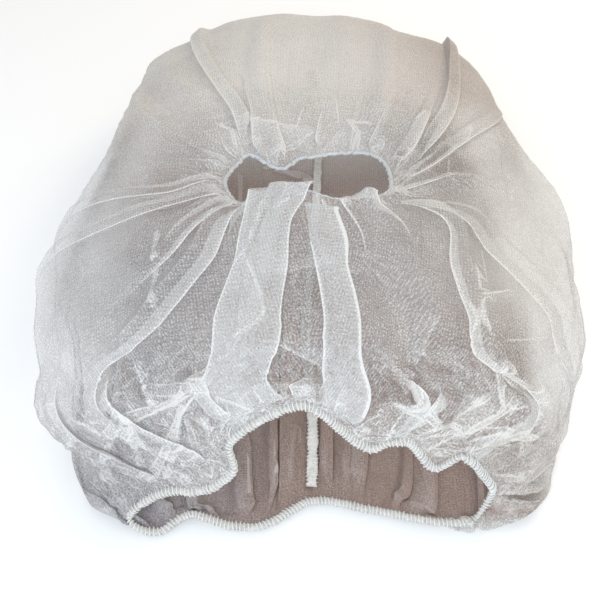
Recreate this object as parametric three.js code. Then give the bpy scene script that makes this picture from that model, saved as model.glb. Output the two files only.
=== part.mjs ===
// Disposable balaclava: a sheer non-woven hood lying on its back, face opening up.
// Millimetres, +Z up, crown towards +Y, neck opening towards -Y.
import * as THREE from 'three';

// Sheet and grid
const WALL = 1.2;              // wall of the sheet, kept far thicker than the real cloth
const GAP = 0.3;               // clearance between pieces that touch
const AROUND = 104;            // points round every loop
const ALONG = 20;              // steps from the face hem to the neck hem
const CHIN_CROWDING = 0.22;    // how much closer the points stand at the chin than at the crown
const END_CROWDING = 0.30;     // how much closer the steps stand at the two hems

// Hems: a flattened band round each opening
const FACE_HEM_WIDTH = 3.4;
const FACE_HEM_THICK = 1.8;
const NECK_HEM_WIDTH = 4.8;
const NECK_HEM_THICK = 2.4;
const HEM_CORNERS = 5;
const HEM_EVENING = 3;         // neighbouring points over which a hem's run-out is evened
const FACE_HEM_LEAD = new THREE.Vector3(0, 0, 0);
const NECK_HEM_LEAD = new THREE.Vector3(0, -0.7, 0);

// Seam: an overlocked strip on the inside of the back
const SEAM_WIDTH = 5.0;
const SEAM_THICK = 1.5;
const SEAM_FIRST = 12;         // step of the grid where the strip begins, at the foot of the crown
const SEAM_LAST = 19;          // step where it ends, just inside the neck hem
const SEAM_SWAY = 1.6;         // the strip wanders sideways by this much
const SEAM_WAVES = 2.5;

// How far into the sheet the shape of each hem is felt, as a share of the way between the hems
const FACE_REACH = 0.28;
const NECK_REACH = 0.22;

// Closed loops from the face hem (station 0) to the neck hem (station 1).
// far is the crown side, later the back on the floor; near is the chin side; side is the widest point.
const LOOPS = [
  { station: 0.00, farY: 16, farZ: 66, nearY: -60, nearZ: 94, sideY: -20, sideZ: 75, halfWidth: 42, taper: 0.00, square: 1.00, corner: 0 },
  { station: 0.10, farY: 45, farZ: 74, nearY: -76, nearZ: 97, sideY: -18, sideZ: 78, halfWidth: 64, taper: 0.00, square: 0.95, corner: 0 },
  { station: 0.24, farY: 98, farZ: 79, nearY: -98, nearZ: 93, sideY: -6, sideZ: 74, halfWidth: 98, taper: 0.00, square: 0.84, corner: 0 },
  { station: 0.38, farY: 158, farZ: 72, nearY: -117, nearZ: 87, sideY: 0, sideZ: 60, halfWidth: 124, taper: 0.04, square: 0.72, corner: 0 },
  { station: 0.50, farY: 204, farZ: 46, nearY: -132, nearZ: 83, sideY: -14, sideZ: 46, halfWidth: 133, taper: 0.06, square: 0.62, corner: 0 },
  { station: 0.62, farY: 192, farZ: 6, nearY: -142, nearZ: 80, sideY: -42, sideZ: 36, halfWidth: 132, taper: 0.04, square: 0.62, corner: 0 },
  { station: 0.67, farY: 160, farZ: 0, nearY: -145, nearZ: 79, sideY: -56, sideZ: 34, halfWidth: 131, taper: 0.03, square: 0.63, corner: -6 },
  { station: 0.80, farY: 40, farZ: 0, nearY: -151, nearZ: 77, sideY: -96, sideZ: 28, halfWidth: 127, taper: 0.00, square: 0.66, corner: -44 },
  { station: 0.92, farY: -110, farZ: 0, nearY: -157, nearZ: 73, sideY: -146, sideZ: 24, halfWidth: 114, taper: 0.00, square: 0.68, corner: -44 },
  { station: 1.00, farY: -174, farZ: 3, nearY: -162, nearZ: 55, sideY: -168, sideZ: 20, halfWidth: 82, taper: 0.00, square: 1.00, corner: 0 },
];

// Bends of the face hem, turning from the crown (0) by the right (90) to the chin (180).
const FACE_BENDS = [
  { turn: 0, across: 0, along: 14, up: 66 },
  { turn: 20, across: 14, along: 19, up: 65 },
  { turn: 45, across: 32, along: 15, up: 68 },
  { turn: 70, across: 41, along: 2, up: 71 },
  { turn: 90, across: 43, along: -18, up: 76 },
  { turn: 115, across: 40, along: -40, up: 84 },
  { turn: 140, across: 28, along: -55, up: 92 },
  { turn: 165, across: 12, along: -60, up: 95 },
  { turn: 185, across: -4, along: -60, up: 98 },
  { turn: 205, across: -22, along: -58, up: 99 },
  { turn: 225, across: -34, along: -52, up: 92 },
  { turn: 250, across: -43, along: -34, up: 80 },
  { turn: 270, across: -45, along: -14, up: 72 },
  { turn: 295, across: -40, along: 6, up: 67 },
  { turn: 315, across: -33, along: 16, up: 66 },
  { turn: 335, across: -16, along: 6, up: 64 },
  { turn: 347, across: -6, along: 14, up: 65 },
];

// Bends of the neck hem, turning from the back on the floor (0) by the right to the chin (180).
const NECK_BENDS = [
  { turn: 0, across: 2, along: -166, up: 3 },
  { turn: 14, across: 29, along: -170, up: 3 },
  { turn: 29, across: 61, along: -177, up: 4 },
  { turn: 42, across: 77, along: -175, up: 4 },
  { turn: 68, across: 85, along: -168, up: 14 },
  { turn: 92, across: 79, along: -168, up: 28 },
  { turn: 110, across: 68, along: -168, up: 42 },
  { turn: 124, across: 57, along: -167, up: 32 },
  { turn: 138, across: 45, along: -164, up: 46 },
  { turn: 150, across: 36, along: -164, up: 47 },
  { turn: 160, across: 26, along: -164, up: 43 },
  { turn: 176, across: 6, along: -162, up: 64 },
  { turn: 184, across: -3, along: -161, up: 68 },
  { turn: 196, across: -18, along: -163, up: 62 },
  { turn: 208, across: -34, along: -168, up: 50 },
  { turn: 218, across: -33, along: -172, up: 36 },
  { turn: 230, across: -45, along: -174, up: 24 },
  { turn: 250, across: -62, along: -173, up: 21 },
  { turn: 276, across: -76, along: -175, up: 12 },
  { turn: 300, across: -81, along: -179, up: 6 },
  { turn: 324, across: -67, along: -183, up: 3 },
  { turn: 334, across: -53, along: -175, up: 5 },
  { turn: 343, across: -35, along: -179, up: 3 },
  { turn: 350, across: -20, along: -179, up: 3 },
];

// Folds and dents: a ridge (height above zero) or a valley (below) that runs between two stations.
// turns are the places of its crest at the start, the middle and the end; lean tips the crest sideways.
const FOLDS = [
  { name: 'chin flap', start: 0.02, end: 0.97, turn0: 195, turn1: 189, turn2: 199, halfWidth: 20, height: 9, lean: 3 },
  { name: 'chin second pleat', start: 0.22, end: 0.96, turn0: 175, turn1: 173, turn2: 168, halfWidth: 12, height: 6, lean: 2 },
  { name: 'left upper ridge', start: 0.02, end: 0.46, turn0: 261, turn1: 243, turn2: 256, halfWidth: 11, height: 5, lean: 2 },
  { name: 'left long ridge', start: 0.03, end: 0.50, turn0: 236, turn1: 232, turn2: 243, halfWidth: 12, height: 6, lean: 3 },
  { name: 'left short ridge', start: 0.02, end: 0.36, turn0: 217, turn1: 216, turn2: 211, halfWidth: 9, height: 5, lean: 1 },
  { name: 'left big fold', start: 0.10, end: 0.94, turn0: 203, turn1: 200, turn2: 226, halfWidth: 14, height: 7, lean: 4 },
  { name: 'left dent', start: 0.36, end: 0.72, turn0: 218, turn1: 216, turn2: 220, halfWidth: 26, height: -8, lean: 0 },
  { name: 'right upper fold', start: 0.01, end: 0.44, turn0: 104, turn1: 75, turn2: 67, halfWidth: 12, height: 6, lean: -2 },
  { name: 'right lower fold', start: 0.01, end: 0.32, turn0: 121, turn1: 101, turn2: 101, halfWidth: 10, height: 5, lean: -2 },
  { name: 'right crown fold', start: 0.06, end: 0.54, turn0: 78, turn1: 48, turn2: 40, halfWidth: 15, height: 8, lean: -3 },
  { name: 'right long ridge', start: 0.08, end: 0.93, turn0: 126, turn1: 155, turn2: 132, halfWidth: 12, height: 7, lean: -4 },
  { name: 'right outer ridge', start: 0.10, end: 0.78, turn0: 122, turn1: 139, turn2: 130, halfWidth: 14, height: 7, lean: -3 },
  { name: 'right chin dent', start: 0.26, end: 0.86, turn0: 150, turn1: 164, turn2: 158, halfWidth: 16, height: -7, lean: 0 },
  { name: 'crown left fold', start: 0.04, end: 0.52, turn0: 315, turn1: 323, turn2: 322, halfWidth: 13, height: 6, lean: 2 },
  { name: 'crown left dent', start: 0.10, end: 0.50, turn0: 300, turn1: 305, turn2: 305, halfWidth: 18, height: -6, lean: 0 },
  { name: 'crown middle fold', start: 0.04, end: 0.50, turn0: 39, turn1: 29, turn2: 20, halfWidth: 13, height: 5, lean: -1 },
  { name: 'crown middle dent', start: 0.12, end: 0.52, turn0: 348, turn1: 352, turn2: 354, halfWidth: 22, height: -5, lean: 0 },
  { name: 'left low pleat', start: 0.80, end: 0.98, turn0: 250, turn1: 238, turn2: 230, halfWidth: 12, height: 6, lean: 2 },
  { name: 'right low pleat', start: 0.44, end: 0.96, turn0: 157, turn1: 160, turn2: 160, halfWidth: 10, height: 5, lean: 1 },
  { name: 'right corner pleat', start: 0.58, end: 0.98, turn0: 137, turn1: 131, turn2: 128, halfWidth: 13, height: 5, lean: 0 },
];

// Gathers: small even ripples where the elastic draws each opening in; reach is measured along the sheet
const GATHERS = [
  { edge: 0, count: 26, height: 1.4, reach: 24 },
  { edge: 1, count: 26, height: 2.6, reach: 34 },
];

const TAU = Math.PI * 2;
const clamp = (value, low, high) => Math.min(Math.max(value, low), high);
const radians = (degrees) => (degrees * Math.PI) / 180;

// Cubic between two values with the slope at each.
function cubic(t, step, from, slopeFrom, to, slopeTo) {
  const s = 1 - t;
  return (1 + 2 * t) * s * s * from + t * s * s * step * slopeFrom
    + t * t * (3 - 2 * t) * to + t * t * (t - 1) * step * slopeTo;
}

// One column of the loop table, read smoothly at any station without overshooting its rows.
function column(name) {
  const at = LOOPS.map((row) => row.station);
  const value = LOOPS.map((row) => row[name]);
  const rise = value.slice(1).map((v, i) => (v - value[i]) / (at[i + 1] - at[i]));
  const slope = value.map((v, i) => {
    if (i === 0) return rise[0];
    if (i === value.length - 1) return rise[i - 1];
    if (rise[i - 1] * rise[i] <= 0) return 0;
    const before = at[i] - at[i - 1];
    const after = at[i + 1] - at[i];
    const mean = (rise[i - 1] * after + rise[i] * before) / (before + after);
    return Math.sign(mean) * Math.min(Math.abs(mean), 3 * Math.min(Math.abs(rise[i - 1]), Math.abs(rise[i])));
  });
  return (station) => {
    let i = 0;
    while (i < at.length - 2 && station >= at[i + 1]) i += 1;
    const step = at[i + 1] - at[i];
    return cubic((station - at[i]) / step, step, value[i], slope[i], value[i + 1], slope[i + 1]);
  };
}

const read = {};
for (const name of Object.keys(LOOPS[0])) read[name] = column(name);

// Smooth closed curve through the bends of a hem.
function closedCurve(bends) {
  const turn = bends.map((bend) => radians(bend.turn));
  const count = bends.length;
  const span = (from, to) => (((turn[to] - turn[from]) % TAU) + TAU) % TAU;
  const axes = ['across', 'along', 'up'];
  const slopes = bends.map((bend, i) => {
    const before = (i + count - 1) % count;
    const after = (i + 1) % count;
    return axes.map((axis) => (bends[after][axis] - bends[before][axis]) / span(before, after));
  });
  return (angle) => {
    const a = ((angle % TAU) + TAU) % TAU;
    let i = count - 1;
    for (let k = 0; k < count - 1; k += 1) if (a >= turn[k] && a < turn[k + 1]) i = k;
    const j = (i + 1) % count;
    const step = span(i, j);
    const t = ((((a - turn[i]) % TAU) + TAU) % TAU) / step;
    const p = axes.map((axis, k) => cubic(t, step, bends[i][axis], slopes[i][k], bends[j][axis], slopes[j][k]));
    return new THREE.Vector3(...p);
  };
}

const faceHemLine = closedCurve(FACE_BENDS);
const neckHemLine = closedCurve(NECK_BENDS);

// Point of the plain loop at a station: squared oval through its far, side and near points.
function loopPoint(turn, station) {
  const power = 2 / read.square(station);
  const reach = (Math.abs(Math.sin(turn)) ** power + Math.abs(Math.cos(turn)) ** power) ** (-1 / power);
  const s = Math.sin(turn) * reach;
  const c = Math.cos(turn) * reach;
  const farY = read.farY(station);
  const farZ = read.farZ(station);
  const nearY = read.nearY(station);
  const nearZ = read.nearZ(station);
  const sideY = read.sideY(station);
  const sideZ = read.sideZ(station);
  const corner = c > 0 ? read.corner(station) * Math.sin(2 * turn) ** 2 : 0;
  return new THREE.Vector3(
    read.halfWidth(station) * s * (1 - read.taper(station) * c),
    sideY + ((farY - nearY) / 2) * c + ((farY + nearY) / 2 - sideY) * c * c + corner,
    sideZ + ((farZ - nearZ) / 2) * c + ((farZ + nearZ) / 2 - sideZ) * c * c,
  );
}

// The smooth hood: loops in the middle, running out into the bent line of each hem.
function smoothPoint(turn, station) {
  const p = loopPoint(turn, station);
  const face = clamp(1 - station / FACE_REACH, 0, 1) ** 2;
  const neck = clamp(1 - (1 - station) / NECK_REACH, 0, 1) ** 2;
  if (face > 0) p.addScaledVector(faceHemLine(turn).sub(loopPoint(turn, 0)), face);
  if (neck > 0) p.addScaledVector(neckHemLine(turn).sub(loopPoint(turn, 1)), neck);
  return p;
}

// Places of the grid, crowded towards the chin and towards the hems.
const turnAt = (i) => {
  const share = (TAU * i) / AROUND;
  return share + CHIN_CROWDING * Math.sin(share);
};
const stationAt = (j) => {
  const share = j / ALONG;
  return share - (END_CROWDING / TAU) * Math.sin(TAU * share);
};

const grid = (make) => Array.from({ length: ALONG + 1 }, (_, j) => Array.from({ length: AROUND }, (_v, i) => make(i, j)));

const smooth = grid((i, j) => smoothPoint(turnAt(i), stationAt(j)));

// Unit directions at every point of a grid: round the loop, along the sheet and outwards.
function directions(points) {
  return grid((i, j) => {
    const row = points[j];
    const round = row[(i + 1) % AROUND].clone().sub(row[(i + AROUND - 1) % AROUND]);
    const up = points[Math.min(j + 1, ALONG)][i];
    const along = up.clone().sub(points[Math.max(j - 1, 0)][i]).normalize();
    const speed = round.length() / 2;
    round.normalize();
    const out = new THREE.Vector3().crossVectors(round, along).normalize();
    return { round, along, out, speed };
  });
}

// Length of sheet between a point of the grid and one of the hems.
function wayFrom(edge, i, j) {
  const last = edge * ALONG;
  let length = 0;
  for (let k = Math.min(j, last); k < Math.max(j, last); k += 1) length += smooth[k][i].distanceTo(smooth[k + 1][i]);
  return length;
}

// Height and sideways lean of all folds and gathers at one point of the grid.
function foldShift(i, j, speed) {
  const turn = turnAt(i);
  const station = stationAt(j);
  let height = 0;
  let lean = 0;
  const turnStep = turnAt(i + 0.5) - turnAt(i - 0.5);
  for (const fold of FOLDS) {
    const t = (station - fold.start) / (fold.end - fold.start);
    if (t <= 0 || t >= 1) continue;
    const crest = radians(fold.turn0 * (1 - t) * (1 - 2 * t) + fold.turn1 * 4 * t * (1 - t) + fold.turn2 * t * (2 * t - 1));
    let away = turn - crest;
    away -= TAU * Math.round(away / TAU);
    const d = ((away / turnStep) * speed) / fold.halfWidth;
    if (Math.abs(d) >= 1) continue;
    const fade = Math.sin(Math.PI * t) ** 0.7;
    height += fold.height * fade * (0.5 + 0.5 * Math.cos(Math.PI * d));
    lean += fold.lean * fade * (0.5 + 0.5 * Math.cos(Math.PI * d));
  }
  for (const gather of GATHERS) {
    const t = wayFrom(gather.edge, i, j) / gather.reach;
    if (t >= 1) continue;
    height += gather.height * 6.75 * t * (1 - t) ** 2 * Math.sin((TAU * gather.count * i) / AROUND);
  }
  return { height, lean };
}

// Outer and inner faces of the sheet, both flat where they rest on the floor.
const smoothWays = directions(smooth);
const outer = grid((i, j) => {
  const way = smoothWays[j][i];
  const shift = foldShift(i, j, way.speed);
  const p = smooth[j][i].clone().addScaledVector(way.out, shift.height).addScaledVector(way.round, shift.lean);
  p.z = Math.max(p.z, 0);
  return p;
});
const ways = directions(outer);
const inner = grid((i, j) => {
  const p = outer[j][i].clone().addScaledVector(ways[j][i].out, -WALL);
  p.z = Math.max(p.z, WALL);
  return p;
});

function meshOf(name, points, faces, colour) {
  const geometry = new THREE.BufferGeometry();
  geometry.setAttribute('position', new THREE.Float32BufferAttribute(points.flatMap((p) => [p.x, p.y, p.z]), 3));
  geometry.setIndex(faces.flat());
  geometry.computeVertexNormals();
  const mesh = new THREE.Mesh(geometry, new THREE.MeshStandardMaterial({ color: colour, roughness: 0.9 }));
  mesh.name = name;
  return mesh;
}

// Hood: the outer and inner grids joined round both openings.
function makeHood() {
  const points = [...outer.flat(), ...inner.flat()];
  const out = (i, j) => j * AROUND + (i % AROUND);
  const inn = (i, j) => (ALONG + 1) * AROUND + out(i, j);
  const faces = [];
  const apart = (a, b) => points[a].distanceTo(points[b]);
  const quad = (a, b, c, d, turned = false) => {
    if (turned) faces.push([a, b, d], [b, c, d]);
    else faces.push([a, b, c], [a, c, d]);
  };
  for (let i = 0; i < AROUND; i += 1) {
    for (let j = 0; j < ALONG; j += 1) {
      // each small panel is split along its shorter diagonal, the same on both faces of the sheet
      const turned = apart(out(i + 1, j), out(i, j + 1)) < apart(out(i, j), out(i + 1, j + 1));
      quad(out(i, j), out(i + 1, j), out(i + 1, j + 1), out(i, j + 1), turned);
      quad(inn(i, j), inn(i, j + 1), inn(i + 1, j + 1), inn(i + 1, j), turned);
    }
    quad(out(i + 1, 0), out(i, 0), inn(i, 0), inn(i + 1, 0));
    quad(out(i, ALONG), out(i + 1, ALONG), inn(i + 1, ALONG), inn(i, ALONG));
  }
  return meshOf('hood', points, faces, 0xeceae6);
}

// Hem: a flattened ring that carries the sheet on past its edge, clear of it by the gap.
// Its run-out is evened over neighbouring points and turned a little towards the open end.
function makeHem(name, j, outwards, width, thick, lead, colour) {
  const points = [];
  const faces = [];
  for (let i = 0; i < AROUND; i += 1) {
    const edge = outer[j][i].clone().add(inner[j][i]).multiplyScalar(0.5);
    const { round } = ways[j][i];
    const away = lead.clone();
    for (let k = -HEM_EVENING; k <= HEM_EVENING; k += 1) {
      away.addScaledVector(ways[j][(i + k + AROUND) % AROUND].along, outwards / (2 * HEM_EVENING + 1));
    }
    away.addScaledVector(round, -away.dot(round)).normalize();
    const out = new THREE.Vector3().crossVectors(round, away).multiplyScalar(outwards);
    const clear = GAP + WALL * 0.8 * Math.abs(away.dot(ways[j][i].out));
    for (let k = 0; k < HEM_CORNERS; k += 1) {
      const angle = (TAU * k) / HEM_CORNERS;
      const p = edge.clone().addScaledVector(away, clear + (width / 2) * (1 + Math.cos(angle) / Math.cos(Math.PI / HEM_CORNERS)));
      p.addScaledVector(out, (thick / 2) * Math.sin(angle));
      p.z = Math.max(p.z, 0);
      points.push(p);
    }
  }
  const id = (i, k) => (i % AROUND) * HEM_CORNERS + (k % HEM_CORNERS);
  for (let i = 0; i < AROUND; i += 1) {
    for (let k = 0; k < HEM_CORNERS; k += 1) {
      const [a, b, c, d] = [id(i, k), id(i, k + 1), id(i + 1, k + 1), id(i + 1, k)];
      if (outwards < 0) faces.push([a, c, b], [a, d, c]);
      else faces.push([a, b, c], [a, c, d]);
    }
  }
  return meshOf(name, points, faces, colour);
}

// Back seam: a strip along the middle of the back, lying just clear of the inner face.
function makeSeam() {
  const points = [];
  const faces = [];
  for (let j = SEAM_FIRST; j <= SEAM_LAST; j += 1) {
    const { round, out } = ways[j][0];
    const sway = SEAM_SWAY * Math.sin((TAU * SEAM_WAVES * (j - SEAM_FIRST)) / (SEAM_LAST - SEAM_FIRST));
    for (const [side, top] of [[-1, 0], [1, 0], [0.7, 1], [-0.7, 1]]) {
      const p = inner[j][0].clone().addScaledVector(round, sway + (side * SEAM_WIDTH) / 2);
      points.push(p.addScaledVector(out, -GAP - top * SEAM_THICK));
    }
  }
  const id = (i, k) => i * 4 + (k % 4);
  const count = SEAM_LAST - SEAM_FIRST;
  for (let i = 0; i < count; i += 1) {
    for (let k = 0; k < 4; k += 1) {
      const [a, b, c, d] = [id(i, k), id(i, k + 1), id(i + 1, k + 1), id(i + 1, k)];
      faces.push([a, b, c], [a, c, d]);
    }
  }
  const last = count * 4;
  faces.push([0, 2, 1], [0, 3, 2], [last, last + 1, last + 2], [last, last + 2, last + 3]);
  return meshOf('back_seam', points, faces, 0xf2f0ec);
}

const group = new THREE.Group();
group.name = 'disposable_balaclava';
group.add(makeHood());
group.add(makeHem('face_hem', 0, -1, FACE_HEM_WIDTH, FACE_HEM_THICK, FACE_HEM_LEAD, 0xf1f2f4));
group.add(makeHem('neck_hem', ALONG, 1, NECK_HEM_WIDTH, NECK_HEM_THICK, NECK_HEM_LEAD, 0xf4f4f2));
group.add(makeSeam());

// The origin is the middle of the underside of the whole part.
const box = new THREE.Box3().setFromObject(group);
const middle = box.getCenter(new THREE.Vector3());
group.children.forEach((mesh) => mesh.geometry.translate(-middle.x, -middle.y, -box.min.z));
export default group;
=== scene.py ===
import bpy
import numpy as np
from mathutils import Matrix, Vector


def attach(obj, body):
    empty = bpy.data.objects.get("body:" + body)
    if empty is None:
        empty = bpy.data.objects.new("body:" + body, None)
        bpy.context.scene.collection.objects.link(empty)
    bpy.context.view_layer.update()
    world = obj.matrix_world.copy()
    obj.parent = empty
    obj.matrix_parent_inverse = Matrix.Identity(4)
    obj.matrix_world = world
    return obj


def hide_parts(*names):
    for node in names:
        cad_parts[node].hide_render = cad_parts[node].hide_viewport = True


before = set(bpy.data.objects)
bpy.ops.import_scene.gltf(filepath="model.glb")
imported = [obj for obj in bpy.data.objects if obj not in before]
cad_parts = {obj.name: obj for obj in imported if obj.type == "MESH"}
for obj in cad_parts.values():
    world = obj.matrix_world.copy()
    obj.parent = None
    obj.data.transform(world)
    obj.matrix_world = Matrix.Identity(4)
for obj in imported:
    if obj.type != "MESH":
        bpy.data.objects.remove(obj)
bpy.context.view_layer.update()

# Hood: one sheet of sheer spunbond non-woven, sewn into a bag with two openings.
# It lies on its back; the elastics draw the cloth into gathers and pleats at both openings.
# Loops run from the face opening (station 0) over the crown and chin to the neck opening (station 1).
columns, rows = 600, 160
# Sizes are in millimetres of the table, where the part's origin lies middle_y along.
middle_y = 7.4345
loop_names = "station far_y far_z near_y near_z side_y side_z half_width taper square corner".split()
loops = np.array([
    (0, 16, 66, -60, 94, -20, 75, 42, 0, 1, 0),
    (0.1, 45, 74, -76, 97, -18, 78, 64, 0, 0.95, 0),
    (0.24, 98, 79, -98, 93, -6, 74, 98, 0, 0.84, 0),
    (0.38, 158, 72, -117, 87, 0, 60, 124, 0.04, 0.72, 0),
    (0.5, 204, 46, -132, 83, -14, 46, 133, 0.06, 0.62, 0),
    (0.62, 192, 6, -142, 80, -42, 36, 132, 0.04, 0.62, 0),
    (0.67, 160, 0, -144, 78, -56, 34, 131, 0.03, 0.63, -6),
    (0.8, 40, 0, -150, 74, -96, 28, 127, 0, 0.66, -44),
    (0.92, -110, 0, -157, 66, -146, 24, 114, 0, 0.68, -44),
    (1, -174, 3, -162, 55, -168, 20, 82, 0, 1, 0),
])
# Bends of the face hem: turn from the crown in degrees, then across, along and up in millimetres.
face_bends = np.array([
    (0, 0, 14, 66), (20, 14, 19, 65), (45, 32, 15, 68), (70, 41, 2, 71), (90, 43, -18, 76),
    (115, 40, -40, 84), (140, 28, -55, 92), (165, 12, -60, 95), (185, -4, -60, 100), (205, -22, -58, 95),
    (225, -34, -54, 87), (250, -43, -34, 80), (270, -45, -14, 72), (295, -40, 6, 67), (315, -33, 16, 66),
    (335, -16, 6, 64), (347, -6, 14, 65),
], float)
# Bends of the neck hem, with the same columns.
neck_bends = np.array([
    (0, 2, -166, 3), (14, 29, -170, 3), (29, 61, -177, 4), (42, 77, -175, 4), (68, 85, -168, 14),
    (92, 79, -168, 28), (110, 68, -168, 42), (124, 57, -167, 32), (138, 45, -164, 46), (150, 36, -164, 47),
    (160, 26, -164, 43), (176, 6, -162, 64), (184, -3, -161, 68), (196, -18, -163, 62),
    (208, -34, -168, 50), (218, -33, -172, 36), (230, -45, -174, 24), (250, -62, -173, 21),
    (276, -76, -175, 12), (300, -81, -179, 6), (324, -67, -183, 3), (334, -53, -175, 5),
    (343, -35, -179, 3), (350, -20, -179, 3),
], float)
# Soft folds: turn of the crest at six stations, then where it starts and ends, half width and height.
track_at = np.array([0, 0.15, 0.3, 0.5, 0.75, 1.0])
folds = [
    ("crown middle", (0, 0, 0, 0, 0, 0), 0.12, 0.52, 22, -4),
    ("crown fold", (39, 32, 25, 20, 18, 16), 0.03, 0.5, 13, 4),
    ("right lower fold", (121, 100, 100, 95, 85, 68), 0, 0.34, 10, 4),
    ("right chin dent", (152, 156, 163, 163, 157, 138), 0.22, 0.86, 18, -6),
    ("crown left dent", (292, 302, 305, 305, 305, 318), 0.1, 0.5, 18, -6),
    ("crown centre fold", (334, 338, 344, 345, 346, 350), 0.02, 0.46, 12, 4),
]
# Tucks: the cloth runs back under itself, so a strip beside a crisp edge lies threefold. Turn of the edge
# at the same six stations, width of the strip (positive to the left of the edge), where it starts and ends,
# the stretches over which it opens and closes, and its height, negative on the back, where it lies inside.
tucks = [
    ("crown right tuck", (82, 55, 44, 38, 34, 30), -6, 0, 0.3, 0.04, 0.2, 3),
    ("crown right fold", (88, 67, 49, 42, 42, 40), -9, 0.03, 0.58, 0.12, 0.1, 6),
    ("right upper fold", (104, 79, 69, 62, 58, 50), -7, 0, 0.46, 0.06, 0.2, 4),
    ("right outer ridge", (128, 127, 137, 139, 131, 100), -12, 0.04, 0.9, 0.2, 0.2, 4),
    ("right long ridge", (136, 134, 148, 153, 147, 118), -7, 0.04, 0.99, 0.1, 0.1, 5),
    ("second pleat right", (168, 168, 171, 171, 170, 166), 7, 0.06, 1, 0.24, 0.04, 3),
    ("second pleat left", (181, 180, 178, 177, 177, 176), -7, 0.06, 1, 0.24, 0.04, 3),
    ("flap right", (177, 186, 185, 185, 187, 190), 16, 0, 1, 0.03, 0.04, 4),
    ("flap left", (209, 202, 197, 196, 198, 204), -16, 0, 1, 0.03, 0.04, 4),
    ("left big fold", (214, 206, 202, 204, 215, 228), 11, 0.04, 0.99, 0.1, 0.12, 5),
    ("left short ridge", (220, 216, 213, 215, 222, 240), 8, 0, 0.44, 0.04, 0.24, 4),
    ("left long ridge", (236, 233, 235, 242, 246, 264), 7, 0, 0.6, 0.05, 0.25, 5),
    ("left upper ridge", (261, 245, 250, 256, 268, 292), 7, 0, 0.58, 0.05, 0.3, 4),
    ("crown left fold", (314, 322, 322, 322, 326, 336), 7, 0.03, 0.56, 0.1, 0.12, 5),
    ("back left strip", (348, 350, 353, 353, 354, 353), 7, 0.74, 1, 0.16, 0.03, -4),
    ("back first strip", (14, 12, 9, 7, 6, 5), -4, 0.8, 1, 0.14, 0.03, -4),
    ("back second strip", (28, 22, 17, 14, 12, 10), -3, 0.82, 1, 0.14, 0.03, -4),
    ("back third strip", (60, 44, 35, 29, 26, 20), -3, 0.82, 1, 0.14, 0.03, -4),
]
# Small tucks that the elastics draw in: spacing along the hem, station where it is taken, least and most
# width, least and most reach in stations, height.
face_gathers = (12, 0.06, 2.5, 4.5, 0.1, 0.3, 2)
neck_gathers = (18, 0.93, 4, 9, 0.14, 0.3, 5)
# Puffs and dents of the slack cloth, which give the outline its corners: middle turn, first and last
# station, half width in degrees, then how far the cloth goes across, along and up.
puffs = [
    (343, 0.9, 1, 10, 0, -20, 0), (28, 0.9, 1, 12, 0, -14, 0),
    (196, 0, 0.08, 10, 0, 3, 3), (150, 0, 0.07, 9, 0, 4, 4), (128, 0, 0.07, 8, 2, 3, 4),
    (318, 0.26, 0.8, 26, 9, -3, 0), (284, 0.2, 0.7, 20, 8, 0, 0), (304, 0.72, 1, 22, 10, 5, 0),
    (90, 0.28, 0.76, 11, 9.5, 0, 0), (66, 0.26, 0.66, 14, -5, -2, 0), (108, 0.3, 0.72, 14, -5, 0, 0),
    (256, 0.78, 1, 18, -8, 0, 0), (302, 0.89, 1, 13, 9, 3, 0), (27, 0.28, 0.62, 11, 0, -6, -5),
    (309, 0.3, 0.58, 8, -4, 5, 2), (325, 0.34, 0.54, 6, 0, -3, 0), (262, 0.34, 0.8, 24, 3, 0, 0),
]
# Pressed creases: turn and station of both ends, sharpness, and the side on which the cloth lies double.
creases = [
    (197, 0.08, 195, 0.25, 0.3, 1), (195, 0.25, 188, 0.46, 0.45, 1), (188, 0.46, 196, 0.77, 0.4, 1),
    (185, 0.6, 178, 0.75, 0.3, -1), (178, 0.75, 176, 0.86, 0.3, -1),
    (187, 0.31, 178, 0.27, 0.1, -1), (178, 0.27, 169, 0.3, 0.1, -1),
    (158, 0.47, 161, 0.91, 0.3, 1),
    (161, 0.91, 156, 0.92, 0.7, 0), (156, 0.92, 137, 0.96, 0.7, 1), (143, 0.95, 144, 0.89, 0.7, -1),
    (137, 0.9, 133, 0.96, 0.7, 1), (129, 0.9, 110, 0.97, 0.8, 1), (127, 0.91, 81, 0.97, 0.6, -1),
    (241, 0.85, 230, 0.92, 0.8, 1), (237, 0.9, 272, 0.95, 0.8, 1), (272, 0.95, 282, 0.98, 0.6, 0),
    (233, 0.93, 214, 0.92, 0.7, 1), (214, 0.92, 203, 0.89, 0.7, 1), (211, 0.76, 214, 0.92, 0.5, -1),
    (223, 0.93, 239, 0.97, 0.7, -1), (203, 0.9, 222, 0.96, 0.7, 1), (224, 0.23, 205, 0.53, 0.4, 0),
    (83, 0.14, 100, 0.13, 0.4, 0), (137, 0.29, 151, 0.54, 0.5, 0), (278, 0.32, 247, 0.4, 0.3, -1),
    (70, 0.14, 70, 0.36, 0.3, 1), (328, 0.11, 338, 0.09, 0.7, 1), (338, 0.09, 351, 0.07, 0.7, 1),
    (351, 0.07, 356, 0.11, 0.5, 0), (12, 0.13, 15, 0.09, 0.5, 0), (145, 0.33, 150, 0.54, 0.6, 0),
    (149, 0.42, 142, 0.4, 0.6, 1), (147, 0.58, 139, 0.56, 0.5, 0),
]
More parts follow.
